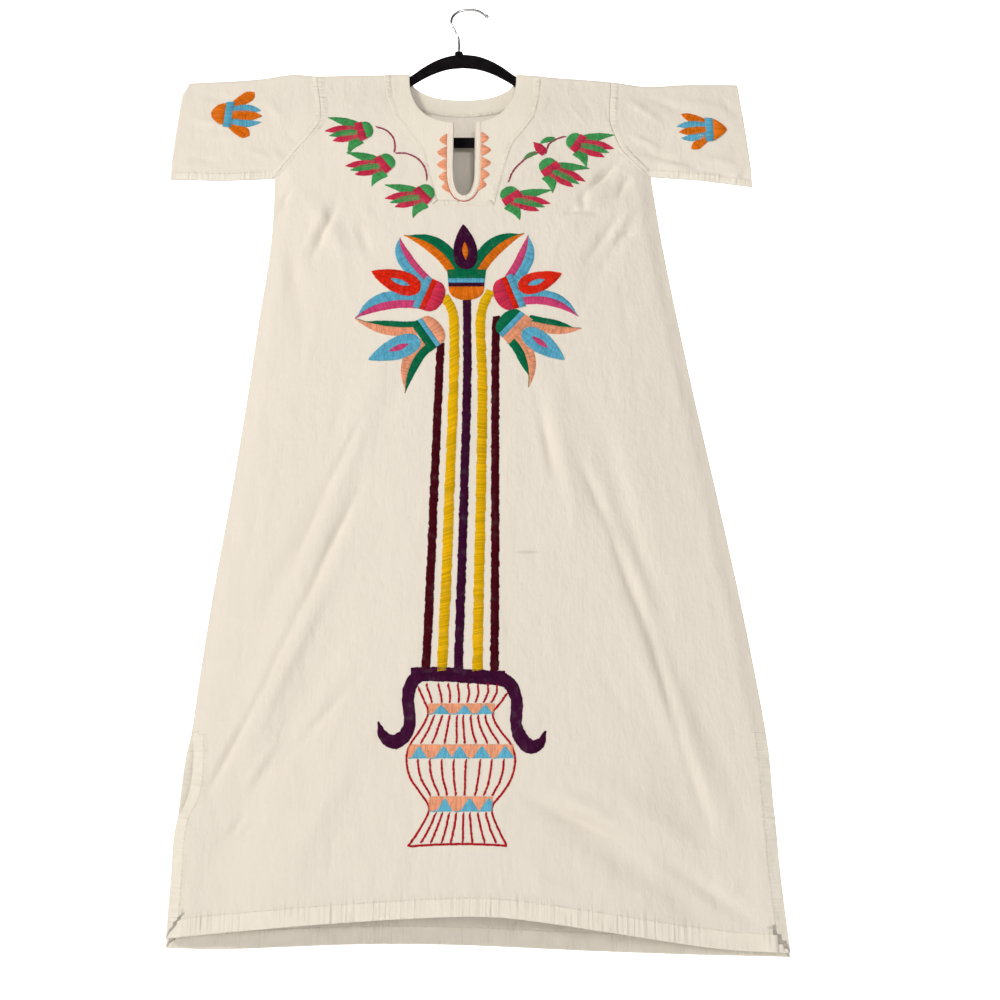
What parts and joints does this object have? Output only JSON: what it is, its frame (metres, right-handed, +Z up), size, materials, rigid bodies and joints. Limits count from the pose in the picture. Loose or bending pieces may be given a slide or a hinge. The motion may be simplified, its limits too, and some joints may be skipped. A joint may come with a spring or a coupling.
{
  "type": "embroidered cotton caftan dress on a hanger",
  "caption": "Long A-line cotton dress with short straight sleeves, round neck with a keyhole slit and embroidered flowers above a vase, hung on a flat velvet hanger.",
  "frame": {"origin": "inside the crown of the hanger's hook, at the underside of the wire, where a rail carries it", "axes": "+Z up, the dress hangs below the origin; -Y is the embroidered front; +X is to the right of a viewer who looks at the front"},
  "size_m": [0.8526, 0.0585, 1.3668],
  "materials": {
    "cotton": "plain-woven unbleached cotton, slightly rumpled",
    "facing_cotton": "plain-woven cotton, double layer",
    "thread": "stranded cotton embroidery thread in satin stitch",
    "velvet": "black flocked velvet",
    "hook_metal": "polished plated wire"
  },
  "bodies": {
    "root": {"front": "cotton", "back": "cotton", "sleeve_left": "cotton", "sleeve_right": "cotton", "neck_facing": "facing_cotton", "slit_binding": "facing_cotton", "back_neck_facing": "facing_cotton", "hanger": "velvet", "hook": "hook_metal"}
  },
  "joints": []
}
